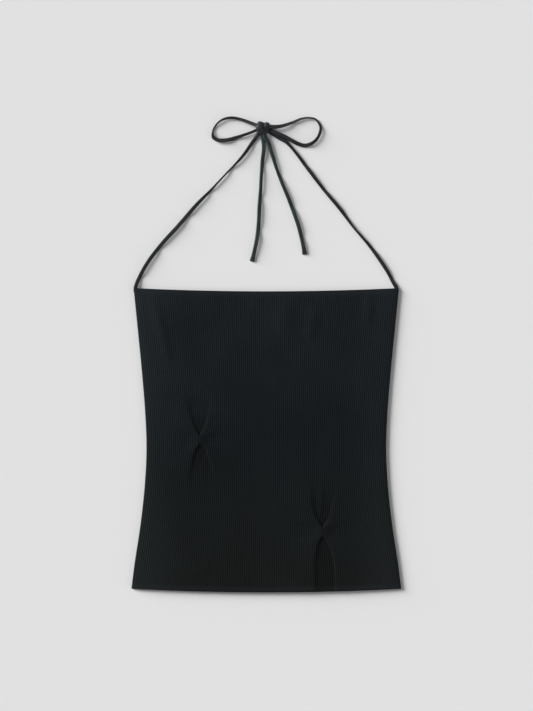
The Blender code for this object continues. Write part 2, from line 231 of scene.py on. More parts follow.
def blended(tree, share, first, second):
    """A colour between two others."""
    colours = {"Factor": share, 6: first, 7: second}
    return add(tree, "ShaderNodeMix", colours, data_type="RGBA").outputs[2]


def finished(obj, tree, values):
    """The object as a plain mesh, after the node tree has run on it with these named inputs."""
    change = obj.modifiers.new(tree.name, "NODES")
    change.node_group = tree
    for item in tree.interface.items_tree:
        if item.in_out == "INPUT" and item.name in values:
            change[item.identifier] = values[item.name]
    graph = bpy.context.evaluated_depsgraph_get()
    mesh = bpy.data.meshes.new_from_object(
        obj.evaluated_get(graph), preserve_all_data_layers=True, depsgraph=graph
    )
    name = obj.name
    bpy.data.objects.remove(obj, do_unlink=True)
    mesh.name = name
    return shown(name, mesh)


# Ribs: every point of the ribbed side moves out along the cloth's own normal, by its place
# between two grooves.
rib_relief = bpy.data.node_groups.new("rib_relief", "GeometryNodeTree")
rib_relief.interface.new_socket("Panel", in_out="INPUT", socket_type="NodeSocketGeometry")
for socket in ("Ribs", "Rib height", "Crest fullness"):
    rib_relief.interface.new_socket(socket, in_out="INPUT", socket_type="NodeSocketFloat")
rib_relief.interface.new_socket("Knit", in_out="INPUT", socket_type="NodeSocketMaterial")
rib_relief.interface.new_socket("Ribbed panel", in_out="OUTPUT", socket_type="NodeSocketGeometry")
start = add(rib_relief, "NodeGroupInput").outputs
across = add(rib_relief, "GeometryNodeInputNamedAttribute", {"Name": "across"}).outputs[0]
relief = add(rib_relief, "GeometryNodeInputNamedAttribute", {"Name": "relief"}).outputs[0]
turn = maths(rib_relief, "MULTIPLY", across, start["Ribs"])
turn = maths(rib_relief, "MULTIPLY", turn, math.pi)
wave = maths(rib_relief, "ABSOLUTE", maths(rib_relief, "SINE", turn))
wave = maths(rib_relief, "POWER", wave, start["Crest fullness"])
rise = maths(rib_relief, "MULTIPLY", wave, relief)
rise = maths(rib_relief, "MULTIPLY", rise, start["Rib height"])
offset = add(
    rib_relief,
    "ShaderNodeVectorMath",
    {0: add(rib_relief, "GeometryNodeInputNormal").outputs[0], "Scale": rise},
    operation="SCALE",
)
moved = add(
    rib_relief, "GeometryNodeSetPosition", {"Geometry": start["Panel"], "Offset": offset.outputs[0]}
)
moved = add(rib_relief, "GeometryNodeRealizeInstances", {0: moved.outputs[0]})
moved = add(
    rib_relief, "GeometryNodeSetMaterial", {"Geometry": moved.outputs[0], "Material": start["Knit"]}
)
add(rib_relief, "NodeGroupOutput", {0: moved.outputs[0]})

# columns: height up the panel, the colour there: black dye with painted light, lighter and bluer
# towards the neck and darkest a little below the middle.
KNIT_DYE_AND_PAINTED_LIGHT = ((0.0, "181c1a"), (0.45, "121a1d"), (1.0, "1d252a"))

# Rib knit: viscose yarn with some elastane, dyed black and knitted on a fine gauge. The matt
# yarn drinks the light, its loose fibres catch a little of it at a low angle, and the stitches
# make small chevrons down each rib.
rib_knit = bpy.data.materials.new("rib knit, black viscose blend")
rib_knit.use_nodes = True
tree = rib_knit.node_tree
cloth = tree.nodes["Principled BSDF"]
place = add(tree, "ShaderNodeTexCoord").outputs["Object"]
knit = add(tree, "ShaderNodeUVMap", uv_map="knit").outputs[0]
knit = add(tree, "ShaderNodeSeparateXYZ", {0: knit}).outputs
in_rib = maths(tree, "SUBTRACT", maths(tree, "FRACT", knit[0]), 0.5)
in_rib = maths(tree, "ABSOLUTE", in_rib)
chevron = maths(tree, "MULTIPLY_ADD", in_rib, 1.4, knit[1])
chevron = maths(tree, "SINE", maths(tree, "MULTIPLY", chevron, math.tau))
fibres = add(tree, "ShaderNodeTexNoise", {"Vector": place, "Scale": 2200, "Detail": 3}).outputs[0]
loops = maths(tree, "MULTIPLY_ADD", chevron, 0.35, fibres)
bump = add(tree, "ShaderNodeBump", {"Strength": 0.5, "Distance": 0.00012, "Height": loops})
tree.links.new(bump.outputs[0], cloth.inputs["Normal"])
worn = add(tree, "ShaderNodeTexNoise", {"Vector": place, "Scale": 9, "Detail": 4, "Roughness": 0.6})
# Painted light: the colour ramps with height up the panel, lighter towards the neck.
height = add(tree, "ShaderNodeSeparateXYZ", {0: place}).outputs[1]
height = add(tree, "ShaderNodeMapRange", {"Value": height, "From Min": -TOP_Y, "From Max": TOP_Y})
base_colour = add(tree, "ShaderNodeValToRGB", {0: height.outputs[0]})
base_colour.color_ramp.elements.new(0.5)
for element, (position, shade) in zip(base_colour.color_ramp.elements, KNIT_DYE_AND_PAINTED_LIGHT):
    element.position = position
    element.color = linear(shade)
base_colour = blended(tree, worn.outputs[0], linear("0b0c0d"), base_colour.outputs[0])
# Painted shade: the rib grooves are darkened towards near black.
groove_shade = add(
    tree,
    "ShaderNodeMapRange",
    {"Value": in_rib, "From Min": 0.2, "From Max": 0.5, "To Max": 0.3},
    interpolation_type="SMOOTHSTEP",
)
base_colour = blended(tree, groove_shade.outputs[0], base_colour, linear("060708"))
# The colour is paler towards the side seams, and a painted sheen pales the turned-in neck edge and
# hem.
# It is darker along the neck edge itself, and painted shade darkens a tuck's hollows between its
# lips.
aside = add(tree, "ShaderNodeSeparateXYZ", {0: place}).outputs[0]
aside = add(
    tree,
    "ShaderNodeMapRange",
    {"Value": maths(tree, "ABSOLUTE", aside), "From Min": 0.10, "From Max": 0.188, "To Max": 0.22},
    interpolation_type="SMOOTHSTEP",
)
# Painted sheen: the pressed, turned-in cloth along the neck edge and hem is made paler.
pressed_sheen = add(tree, "ShaderNodeAttribute", attribute_name="pressed_sheen").outputs["Fac"]
pressed_sheen = maths(tree, "MULTIPLY", pressed_sheen, 0.2)
# Painted shade: the hollows between a tuck's lips are darkened towards near black.
hollow_shade = add(tree, "ShaderNodeAttribute", attribute_name="hollow_shade").outputs["Fac"]
hollow_shade = maths(tree, "MULTIPLY", hollow_shade, 0.45)
# Darker along the neck edge, fading out over the first 1.6 mm below it.
neck_edge_darkening = add(
    tree,
    "ShaderNodeMapRange",
    {"Value": knit[1], "From Min": 0.4, "From Max": 1.0, "To Min": 0.8, "To Max": 0},
)
for share, shade in (
    (aside.outputs[0], "2c3032"),
    (pressed_sheen, "25292c"),
    (hollow_shade, "030404"),
    (neck_edge_darkening.outputs[0], "030404"),
):
    base_colour = blended(tree, share, base_colour, linear(shade))
tree.links.new(base_colour, cloth.inputs["Base Color"])
cloth.inputs["Roughness"].default_value = 0.85
cloth.inputs["Specular IOR Level"].default_value = 0.1
cloth.inputs["Sheen Weight"].default_value = 0.05
cloth.inputs["Sheen Roughness"].default_value = 0.5
cloth.inputs["Sheen Tint"].default_value = linear("9fb0bc")


def back_outside(across, down, x, y):
    """The grooves of the side that lies down: its crests reach the table."""
    return RIB_HEIGHT + (BACK_THICKNESS * 0.6 - RIB_HEIGHT) * (1 - edge_share(across, down))


def back_inside(across, down, x, y):
    return BACK_THICKNESS * (0.75 + 0.25 * edge_share(across, down))


edge_marks = [(0, 0.0004), (0.0012, 0.0007), (EDGE_ROUND, 0.012)]
far_edge = [(SIDE_LENGTH - EDGE_ROUND, 0.0007), (SIDE_LENGTH - 0.0012, 0.0004), (SIDE_LENGTH, 0)]
rib_across = np.linspace(-1, 1, RIBS * RIB_STEPS + 1)
plain_across = np.linspace(-1, 1, RIBS // 2 + 1)
back = panel_wall(
    "back_panel_cloth",
    (rib_across, stepped(edge_marks + far_edge)),
    (plain_across, stepped(edge_marks + far_edge)),
    back_outside,
    back_inside,
)
back = finished(
    back,
    rib_relief,
    {"Ribs": RIBS, "Rib height": RIB_HEIGHT, "Crest fullness": RIB_FULLNESS, "Knit": rib_knit},
)
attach(back, "root")
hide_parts("back_panel")

# ---------------------------------------------------------------------------------------------
# Front panel. The same rib knit in the same outline, with a tuck caught at the left of the waist
# and another low on the right. Each catch gathers the cloth, and two folds run out from it above
# and two below, with the cloth sunk between them. The neck edge and the hem are turned in once.
# ---------------------------------------------------------------------------------------------
FRONT_UNDERSIDE = 0.0018
FRONT_LOFT = 0.0008  # the front bows up this far over the back, between the seams
SEAM_ROLL = 0.0010  # and this much more within SEAM_ROLL_WIDTH of a side seam
SEAM_ROLL_WIDTH = 0.008
FRONT_WALL = 0.0012
FRONT_RIM = 0.0006
CATCH_LENGTH = 0.0094  # the lips stay together over this length
CATCH_HEIGHT = 0.0013  # of the closed lips at the catch, where they fall away
CATCH_REACH = 0.011  # over this width
FLANK_START = 0.0018  # width of a lip's inner side at the catch
# columns: tuck, side (-1 left, 1 right), way (1 to the neck, -1 to the hem), length,
#          distance of the lip from the middle at an eighth, a quarter, half and all of it,
#          height, share of the height left at the end, share of that distance by which its inner
#          side widens, width of its gentle outer side
FOLDS = (
    (WAIST_TUCK, -1, 1, 0.058, 0.0044, 0.0079, 0.0129, 0.0200, 0.0013, 0, 0.40, 0.026),
    (WAIST_TUCK, 1, 1, 0.058, 0.0043, 0.0072, 0.0111, 0.0160, 0.0008, 0, 0.10, 0.030),
    (WAIST_TUCK, -1, -1, 0.058, 0.0044, 0.0072, 0.0106, 0.0155, 0.0013, 0, 0.40, 0.016),
    (WAIST_TUCK, 1, -1, 0.058, 0.0076, 0.0102, 0.0154, 0.0210, 0.0010, 0, 0.10, 0.030),
    (HIP_TUCK, -1, 1, 0.066, 0.0044, 0.0088, 0.0132, 0.0155, 0.0014, 0, 0.40, 0.026),
    (HIP_TUCK, 1, 1, 0.066, 0.0064, 0.0105, 0.0143, 0.0280, 0.0008, 0, 0.10, 0.030),
    (HIP_TUCK, -1, -1, 0.086, 0.0048, 0.0074, 0.0094, 0.0075, 0.0012, 0.6, 0.70, 0.026),
    (HIP_TUCK, 1, -1, 0.086, 0.0072, 0.0126, 0.0172, 0.0185, 0.0008, 0.6, 0.10, 0.030),
)
FADE_REACH = 1.25  # a fold is gone at this share of its length past the catch
# Soft drag lines: x and y of both ends, half width, depth (negative) or height. The first stands
# as a low ridge in the hollow above the hip tuck.
DRAGS = (
    (0.0785, -0.0600, 0.0738, -0.1130, 0.0030, 0.0004),
    (-0.162, 0.209, -0.133, 0.102, 0.007, 0.0009),
    (0.070, 0.190, 0.058, 0.140, 0.008, 0.0008),
    (0.034, 0.196, 0.014, 0.149, 0.012, 0.0007),
    (0.143, 0.210, 0.142, 0.154, 0.007, 0.0007),
    (-0.104, 0.060, -0.100, 0.034, 0.012, -0.0006),
)
TURNED_STEP = 0.00022  # the turned cloth lifts the outside this much
HOLLOW_SHADE_EDGE = 0.003  # width over which the painted shade of a hollow begins
# the plain inside takes the lowest lift this far sideways and up or down
INSIDE_LOOK = (0.0024, 0.004)


def fold_spread(fold, along):
    """A lip's distance from its tuck's middle line, that far from the catch."""
    length, eighth, quarter, half, end = fold[3:8]
    spread = (
        (0, 0),
        (length / 8, eighth),
        (length / 4, quarter),
        (length / 2, half),
        (length, end),
    )
    return smooth_through(spread, np.clip(along - CATCH_LENGTH / 2, 0, length))


def fold_fading(fold, along):
    """The share of a fold's height that far from the catch."""
    length, left = fold[3], fold[9]
    return 1 - (1 - left) * smooth_step((np.maximum(along, 0) / (length * FADE_REACH)) ** 1.2)


def fold_lift(fold, x, y):
    """How high one fold lifts the front there: steep on its inner side, gentle outside."""
    (catch_x, catch_y), side, way = fold[:3]
    height, _, widening, reach = fold[8:]
    along = (y - catch_y) * way
    apart = fold_spread(fold, along)
    together = 1 - smooth_step(along / CATCH_LENGTH - 0.5)
    outward = (x - catch_x) * side - apart
    flank = smooth_step(outward / (FLANK_START + widening * apart) + 0.5 + 0.5 * together)
    reach = reach + (CATCH_REACH - reach) * together
    falling = np.exp(-((np.maximum(outward, 0) / reach) ** 2))
    height = height + (CATCH_HEIGHT - height) * together
    return np.where(along < 0, 0, height * flank * falling * fold_fading(fold, along))


def tuck_lift(x, y):
    lift = 0 * x
    for fold in FOLDS:
        lift = np.maximum(lift, fold_lift(fold, x, y))
    return lift


def hollow_shade_share(x, y):
    """Painted shade: 1 in the hollows between a tuck's lips, fading along them."""
    share = 0 * x
    for left, right in zip(FOLDS[::2], FOLDS[1::2]):
        (catch_x, catch_y), _, way = left[:3]
        along = (y - catch_y) * way
        inside = 0.5 + np.minimum(
            x - catch_x + fold_spread(left, along), catch_x - x + fold_spread(right, along)
        ) / HOLLOW_SHADE_EDGE
        inside = np.where(along < CATCH_LENGTH / 2, 0, smooth_step(inside))
        share = np.maximum(share, inside * fold_fading(left, along))
    return share


def drag_lift(x, y):
    lift = 0 * x
    for x0, y0, x1, y1, wide, height in DRAGS:
        long = math.hypot(x1 - x0, y1 - y0)
        ux, uy = (x1 - x0) / long, (y1 - y0) / long
        along = ((x - x0) * ux + (y - y0) * uy) / long
        aside = (x - x0) * uy - (y - y0) * ux
        ends = smooth_step(along / 0.3) * smooth_step((1 - along) / 0.3)
        lift = lift + height * ends * np.exp(-((aside / wide) ** 2))
    return lift


def front_base(across):
    inwards = (1 - abs(across)) * SIDE_PROFILE[0][1]
    rolled = SEAM_ROLL * (1 - np.exp(-inwards / SEAM_ROLL_WIDTH))
    return FRONT_UNDERSIDE + FRONT_LOFT * (1 - across**4) + rolled


def front_outside(across, down, x, y):
    """The grooves of the side that shows."""
    full = edge_share(across, down)
    lift = tuck_lift(x, y) + drag_lift(x, y) + TURNED_STEP * turned_share(down)
    return front_base(across) + FRONT_RIM + (FRONT_WALL - FRONT_RIM + lift) * full


def front_inside(across, down, x, y):
    """The plain inside keeps below the outside between its wider points."""
    near = [
        tuck_lift(x + i, y + j) + np.minimum(drag_lift(x, y), 0)
        for i in (-INSIDE_LOOK[0], 0, INSIDE_LOOK[0])
        for j in (-INSIDE_LOOK[1], 0, INSIDE_LOOK[1])
    ]
    return front_base(across) + np.minimum.reduce(near) * edge_share(across, down)


# Points lie close together down the panel at the edges and where the tucks are caught.
front_down = stepped(
    [
        (0, 0.0004),
        (0.0012, 0.0007),
        (EDGE_ROUND, 0.002),
        (0.010, 0.009),
        (0.150, 0.0044),
        (0.196, 0.0015),
        (0.228, 0.0039),
        (0.272, 0.0048),
        (0.322, 0.0016),
        (0.358, 0.0036),
        (SIDE_LENGTH - 0.010, 0.002),
        *far_edge,
    ]
)
front = panel_wall(
    "front_panel_cloth", (rib_across, front_down), (plain_across, front_down[::2]),
    front_outside, front_inside,
)
place = np.zeros(len(front.data.vertices) * 3)
front.data.vertices.foreach_get("co", place)
x, y, _ = place.reshape(-1, 3).T
# Painted shade for the knit's colour: 1 in a tuck's hollows.
hollow_shade = front.data.attributes.new("hollow_shade", "FLOAT", "POINT")
hollow_shade.data.foreach_set("value", hollow_shade_share(x, y))
front = finished(
    front,
    rib_relief,
    {"Ribs": RIBS, "Rib height": RIB_HEIGHT, "Crest fullness": RIB_FULLNESS, "Knit": rib_knit},
)
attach(front, "root")
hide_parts("front_panel")

# ---------------------------------------------------------------------------------------------
# Stitches. Black polyester thread joins the panels down both side seams, holds each tuck's lips
# together at its catch, and closes the top corners over the ends of the ties.
# ---------------------------------------------------------------------------------------------
stitch_row = bpy.data.node_groups.new("stitch_row", "GeometryNodeTree")
stitch_row.interface.new_socket("Row", in_out="INPUT", socket_type="NodeSocketGeometry")
for socket in ("Pitch", "Stitch length", "Thread thickness", "Arch"):
    stitch_row.interface.new_socket(socket, in_out="INPUT", socket_type="NodeSocketFloat")
stitch_row.interface.new_socket("Outward", in_out="INPUT", socket_type="NodeSocketVector")
stitch_row.interface.new_socket("Thread", in_out="INPUT", socket_type="NodeSocketMaterial")
stitch_row.interface.new_socket("Stitches", in_out="OUTPUT", socket_type="NodeSocketGeometry")
start = add(stitch_row, "NodeGroupInput").outputs
row = add(
    stitch_row,
    "GeometryNodeCurveToPoints",
    {"Curve": start["Row"], "Length": start["Pitch"]},
    mode="LENGTH",
)
half = maths(stitch_row, "MULTIPLY", start["Stitch length"], 0.5)
left_end = add(stitch_row, "ShaderNodeCombineXYZ", {"X": maths(stitch_row, "MULTIPLY", half, -1)})
right_end = add(stitch_row, "ShaderNodeCombineXYZ", {"X": half})
top = add(stitch_row, "ShaderNodeCombineXYZ", {"Z": start["Arch"]})
stitch = add(
    stitch_row,
    "GeometryNodeCurveQuadraticBezier",
    {
        "Resolution": 4,
        "Start": left_end.outputs[0],
        "Middle": top.outputs[0],
        "End": right_end.outputs[0],
    },
)
thread_radius = maths(stitch_row, "MULTIPLY", start["Thread thickness"], 0.5)
thread_round = add(
    stitch_row, "GeometryNodeCurvePrimitiveCircle", {"Resolution": 6, "Radius": thread_radius}
)
stitch = add(
    stitch_row,
    "GeometryNodeCurveToMesh",
    {"Curve": stitch.outputs[0], "Profile Curve": thread_round.outputs[0], "Fill Caps": True},
)
facing = add(
    stitch_row,
    "FunctionNodeAxesToRotation",
    {"Primary Axis": start["Outward"], "Secondary Axis": row.outputs["Tangent"]},
    primary_axis="Z",
    secondary_axis="Y",
)
stitches = add(
    stitch_row,
    "GeometryNodeInstanceOnPoints",
    {"Points": row.outputs["Points"], "Instance": stitch.outputs[0], "Rotation": facing.outputs[0]},
)
stitches = add(stitch_row, "GeometryNodeRealizeInstances", {0: stitches.outputs[0]})
stitches = add(
    stitch_row,
    "GeometryNodeSetMaterial",
    {"Geometry": stitches.outputs[0], "Material": start["Thread"]},
)
add(stitch_row, "NodeGroupOutput", {0: stitches.outputs[0]})

# Sewing thread: spun polyester, dyed black. It is smoother than the knit, so it shines a little,
# and its two plies show as slanting ridges.
sewing_thread = bpy.data.materials.new("sewing thread, black spun polyester")
sewing_thread.use_nodes = True
tree = sewing_thread.node_tree
cloth = tree.nodes["Principled BSDF"]
place = add(tree, "ShaderNodeTexCoord").outputs["Object"]
plies = add(
    tree,
    "ShaderNodeTexWave",
    {"Vector": place, "Scale": 900, "Distortion": 0.5},
    bands_direction="DIAGONAL",
)
shade = blended(tree, plies.outputs[1], linear("0b0c0d"), linear("1a1c1f"))
bump = add(
    tree, "ShaderNodeBump", {"Strength": 0.4, "Distance": 0.00005, "Height": plies.outputs[1]}
)
tree.links.new(shade, cloth.inputs["Base Color"])
tree.links.new(bump.outputs[0], cloth.inputs["Normal"])
cloth.inputs["Roughness"].default_value = 0.7
cloth.inputs["Specular IOR Level"].default_value = 0.15


def curve_through(name, points):
    """A curve object through points, for a node tree to work on."""
    curve = bpy.data.curves.new(name, "CURVE")
    curve.dimensions = "3D"
    spline = curve.splines.new("POLY")
    spline.points.add(len(points) - 1)
    for point, place in zip(spline.points, points):
        point.co = (*place, 1)
    obj = bpy.data.objects.new(name, curve)
    bpy.context.scene.collection.objects.link(obj)
    return obj


def joined(name, objects, material):
    """One mesh object from several of the same material."""
    shape = bmesh.new()
    for obj in objects:
        shape.from_mesh(obj.data)
        bpy.data.objects.remove(obj, do_unlink=True)
    for face in shape.faces:
        face.material_index = 0
    mesh = bpy.data.meshes.new(name)
    shape.to_mesh(mesh)
    shape.free()
    mesh.materials.append(material)
    return shown(name, mesh)


def stitched(path, pitch, length, thickness, arch, outward=(0, 0, 1)):
    """A row of stitches along a curve object, arched away from the cloth."""
    return finished(
        path,
        stitch_row,
        {
            "Pitch": pitch,
            "Stitch length": length,
            "Thread thickness": thickness,
            "Arch": arch,
            "Outward": outward,
            "Thread": sewing_thread,
        },
    )


SEAM_LEVEL = 0.00165  # between the panels
SEAM_INSET = 0.0002
SEAM_TOP = 0.004  # from the neck edge to the first stitch
SEAM_FOOT = 0.003  # from the last one to the hem
SEAM_POINTS = 80
rows = []
for side in (-1, 1):
    down = np.linspace(SEAM_TOP, SIDE_LENGTH - SEAM_FOOT, SEAM_POINTS)
    x, y = panel_place(np.full(SEAM_POINTS, float(side)), down)
    path = curve_through(
        "side_seam", [(i - side * SEAM_INSET, j, SEAM_LEVEL) for i, j in zip(x, y)]
    )
    rows.append(stitched(path, 0.0022, 0.0012, 0.00032, 0.0006, outward=(side, 0, 0)))
seam_stitches = joined("side_seam_stitches", rows, sewing_thread)
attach(seam_stitches, "root")

CATCH_ROW = 0.0024  # half the length of a catch's row
CATCH_POINTS = 9
CATCH_PROUD = 0.0002  # its stitches stand this far off the cloth
HALF_WAIST = 0.17
MID_SIDE = 0.21
rows = []
for catch_x, catch_y in (WAIST_TUCK, HIP_TUCK):
    row_y = np.linspace(catch_y - CATCH_ROW, catch_y + CATCH_ROW, CATCH_POINTS)
    row_x = np.full(CATCH_POINTS, catch_x)
    down = np.full(CATCH_POINTS, MID_SIDE)
    level = front_outside(row_x / HALF_WAIST, down, row_x, row_y) + CATCH_PROUD
    path = curve_through("catch", list(zip(row_x, row_y, level)))
    rows.append(stitched(path, 0.0012, 0.0018, 0.0003, 0.0004))
catch_stitches = joined("tuck_catch_stitches", rows, sewing_thread)
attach(catch_stitches, "root")

# ---------------------------------------------------------------------------------------------
# Ties. Two rouleau strips of black jersey, sewn into a tube, turned and pressed flat, so that
# each has a soft roll along both edges. One leaves each top corner, passes the knot, makes the
# loop on the other side of the bow and comes back through the knot to its free end.
# ---------------------------------------------------------------------------------------------
TIE_WIDTH = 0.0056
TIE_THICKNESS = 0.0020
OFF_TABLE = 0.00002
TIE_STEP = 0.0015  # between the rings of a tie's tube
# Half of the tie's section, from one edge to the other: shares of half the width and thickness
TIE_SECTION = (
    (-1.00, 0.00),
    (-0.94, 0.42),
    (-0.80, 0.77),
    (-0.62, 0.96),
    (-0.45, 1.00),
    (-0.18, 0.86),
    (0.18, 0.86),
    (0.45, 1.00),
    (0.62, 0.96),
    (0.80, 0.77),
    (0.94, 0.42),
    (1.00, 0.00),
)
# In places the strip rolls up lengthwise into a thin cord of this width and thickness. Where it
# is half rolled it leans by this many degrees.
ROLLED_WIDTH = 0.0024
ROLLED_THICKNESS = 0.0016
LEAN = 14
# The twisted strip lies in long low waves and comes down on the table in between: the clearance
# up to which it does, the clearance over which the dips fade out, their spacing, how narrow they
# are, and how uneven their spacing is over what length.
DIP_MOST = 0.0016
DIP_FADE = 0.0002
DIP_SPACING = 0.050
DIP_NARROWNESS = 4
DIP_UNEVENNESS = 0.1
DIP_DRIFT = 0.031
# columns: x, y, clearance over the table, how far it is rolled in degrees (0 flat, 90 a thin
# cord; the sign is the edge that lifts)
STRAP_LEFT = (
    (-0.1830, 0.2072, 0.0010, -15),
    (-0.1830, 0.2130, 0.0010, -15),
    (-0.1810, 0.2200, 0.0012, -15),
    (-0.1765, 0.2300, 0.0013, -15),
    (-0.1650, 0.2500, 0.0013, -15),
    (-0.1500, 0.2700, 0.0013, -15),
    (-0.1230, 0.3000, 0.0013, 0),
    (-0.0970, 0.3300, 0.0013, -25),
    (-0.0775, 0.3500, 0.0013, -60),
    (-0.0590, 0.3700, 0.0013, -80),
    (-0.0310, 0.4000, 0.0013, -40),
    (-0.0170, 0.4200, 0.0010, -20),
    (-0.0075, 0.4320, 0.0012, -10),
)
LOOP_RIGHT = (
    (0.0010, 0.4378, 0.0042, 5),
    (0.0100, 0.4380, 0.0040, 10),
    (0.0200, 0.4390, 0.0030, 20),
    (0.0300, 0.4420, 0.0018, 40),
    (0.0400, 0.4460, 0.0013, 55),
    (0.0500, 0.4500, 0.0013, 70),
    (0.0600, 0.4510, 0.0013, 80),
    (0.0690, 0.4490, 0.0013, 80),
    (0.0735, 0.4440, 0.0013, 65),
    (0.0760, 0.4380, 0.0013, 50),
    (0.0750, 0.4300, 0.0013, 45),
    (0.0700, 0.4205, 0.0013, 40),
    (0.0620, 0.4145, 0.0013, 30),
    (0.0540, 0.4125, 0.0013, 20),
    (0.0450, 0.4145, 0.0013, 15),
    (0.0350, 0.4195, 0.0020, 5),
    (0.0250, 0.4250, 0.0023, 5),
    (0.0090, 0.4318, 0.0022, 0),
)
TURN_LEFT = (
    (0.0050, 0.4339, 0.0020, 0),
    (0.0015, 0.4349, 0.0020, 2),
    (-0.0020, 0.4341, 0.0022, 4),
    (-0.0045, 0.4315, 0.0023, 8),
)
TAIL_LEFT = (
    (-0.0052, 0.4280, 0.0006, 5),
    (-0.0045, 0.4220, 0.0006, 5),
    (-0.0035, 0.4100, 0.0013, 5),
    (-0.0055, 0.3900, 0.0013, 20),
    (-0.0070, 0.3700, 0.0013, 30),
    (-0.0080, 0.3500, 0.0013, 30),
    (-0.0095, 0.3300, 0.0013, 15),
    (-0.0110, 0.3000, 0.0013, 10),
    (-0.0135, 0.2800, 0.0013, 0),
    (-0.0155, 0.2700, 0.0013, 10),
    (-0.0200, 0.2500, 0, 0),
)
STRAP_RIGHT = (
    (0.1830, 0.2072, 0.0010, -15),
    (0.1820, 0.2130, 0.0010, -15),
    (0.1780, 0.2200, 0.0012, -25),
    (0.1730, 0.2300, 0.0012, -25),
    (0.1605, 0.2500, 0.0012, -20),
    (0.1460, 0.2700, 0.0012, -40),
    (0.1205, 0.3000, 0.0012, -60),
    (0.1060, 0.3200, 0.0012, -30),
    (0.0810, 0.3500, 0.0012, -40),
    (0.0580, 0.3800, 0.0012, -30),
    (0.0430, 0.4000, 0.0010, -45),
    (0.0330, 0.4120, 0.0007, -45),
    (0.0270, 0.4180, 0.0005, -25),
    (0.0180, 0.4230, 0.0002, -5),
    (0.0090, 0.4290, 0, 0),
    (0.0000, 0.4346, 0, 0),
)
LOOP_LEFT = (
    (-0.0090, 0.4383, 0.0048, 20),
    (-0.0200, 0.4430, 0.0030, 40),
    (-0.0300, 0.4470, 0.0018, 45),
    (-0.0400, 0.4500, 0.0014, 50),
    (-0.0500, 0.4510, 0.0013, 50),
    (-0.0600, 0.4490, 0.0013, 65),
    (-0.0700, 0.4415, 0.0013, 80),
    (-0.0750, 0.4300, 0.0013, 70),
    (-0.0740, 0.4240, 0.0013, 25),
    (-0.0680, 0.4200, 0.0013, 10),
    (-0.0600, 0.4195, 0.0013, 10),
    (-0.0500, 0.4210, 0.0013, 15),
    (-0.0400, 0.4240, 0.0013, -30),
    (-0.0300, 0.4275, 0.0016, -50),
    (-0.0200, 0.4310, 0.0018, -50),
    (-0.0140, 0.4335, 0.0016, -50),
)
TURN_RIGHT = (
    (-0.0100, 0.4336, 0.0012, -42),
    (-0.0068, 0.4341, 0.0014, -26),
    (-0.0044, 0.4316, 0.0020, -12),
)
TAIL_RIGHT = (
    (-0.0030, 0.4272, 0.0024, -5),
    (-0.0009, 0.4230, 0.0023, 0),
    (0.0010, 0.4200, 0.0020, 5),
    (0.0080, 0.4000, 0.0013, 20),
    (0.0145, 0.3800, 0.0013, 35),
    (0.0220, 0.3600, 0.0013, 30),
    (0.0305, 0.3400, 0.0013, 15),
    (0.0380, 0.3200, 0.0013, 15),
    (0.0450, 0.3000, 0.0013, 5),
    (0.0500, 0.2800, 0.0013, 15),
    (0.0540, 0.2600, 0, 0),
)

# Tie jersey: fine single jersey in black viscose. Pressed flat and smoother than the rib knit,
# so it has a soft shine, with the knit's wales running along the strip. The free ends have a
# greener cast, where the dye took differently.
tie_jersey = bpy.data.materials.new("tie jersey, black viscose")
tie_jersey.use_nodes = True
tree = tie_jersey.node_tree
cloth = tree.nodes["Principled BSDF"]
run = add(tree, "ShaderNodeUVMap", uv_map="knit").outputs[0]
run = add(tree, "ShaderNodeSeparateXYZ", {0: run}).outputs
wales = maths(tree, "SINE", maths(tree, "MULTIPLY", run[0], math.tau))
courses = maths(tree, "SINE", maths(tree, "MULTIPLY", run[1], math.tau))
loops = maths(tree, "MULTIPLY_ADD", courses, 0.4, wales)
bump = add(tree, "ShaderNodeBump", {"Strength": 0.35, "Distance": 0.00008, "Height": loops})
tree.links.new(bump.outputs[0], cloth.inputs["Normal"])
place = add(tree, "ShaderNodeTexCoord").outputs["Object"]
cloud = add(tree, "ShaderNodeTexNoise", {"Vector": place, "Scale": 60, "Detail": 3}).outputs[0]
free_end = add(tree, "ShaderNodeAttribute", attribute_name="free_end").outputs["Fac"]
base_colour = blended(tree, free_end, linear("24262a"), linear("2b3b39"))
base_colour = blended(tree, cloud, linear("15161a"), base_colour)
tree.links.new(base_colour, cloth.inputs["Base Color"])
cloth.inputs["Roughness"].default_value = 0.6
cloth.inputs["Specular IOR Level"].default_value = 0.35
cloth.inputs["Sheen Weight"].default_value = 0.08
cloth.inputs["Sheen Tint"].default_value = linear("a9b3c4")

TIE_WALE = 0.0008
TIE_COURSE = 0.0010


def tie_route(places):
    """Even steps through a tie's places: its middle line, lean, width and thickness."""
    table = np.array(places, float)
    length = run_lengths(table[:, :2])
    at = np.linspace(0, length[-1], round(length[-1] / TIE_STEP) + 1)
    x, y, clearance, degrees = (
        smooth_through(np.stack([length, column], 1), at) for column in table.T
    )
    rolled = np.radians(degrees)
    wide = np.hypot(TIE_WIDTH * np.cos(rolled), ROLLED_WIDTH * np.sin(rolled))
    thick = TIE_THICKNESS + (ROLLED_THICKNESS - TIE_THICKNESS) * np.sin(rolled) ** 2
    lean = math.radians(LEAN) * np.sin(2 * rolled)
    reach = np.hypot(wide * np.sin(lean), thick * np.cos(lean)) / 2
    turn = math.pi * (at / DIP_SPACING + 0.5 + DIP_UNEVENNESS * np.sin(at / DIP_DRIFT))
    dip = np.cos(turn) ** (2 * DIP_NARROWNESS) * smooth_step((DIP_MOST - clearance) / DIP_FADE)
    level = np.maximum(clearance, 0) * (1 - dip) + reach + OFF_TABLE
    return np.stack([x, y, level], 1), lean, wide, thick


def tube(middle, along, out, section, wide, thick):
    """Rings of points round a middle line. `along` and `out` are the section's own two axes."""
    u, v = np.array(section).T
    return (
        middle[:, None]
        + along[:, None] * (u[None, :, None] * wide[:, None, None] / 2)
        + out[:, None] * (v[None, :, None] * thick[:, None, None] / 2)
    )


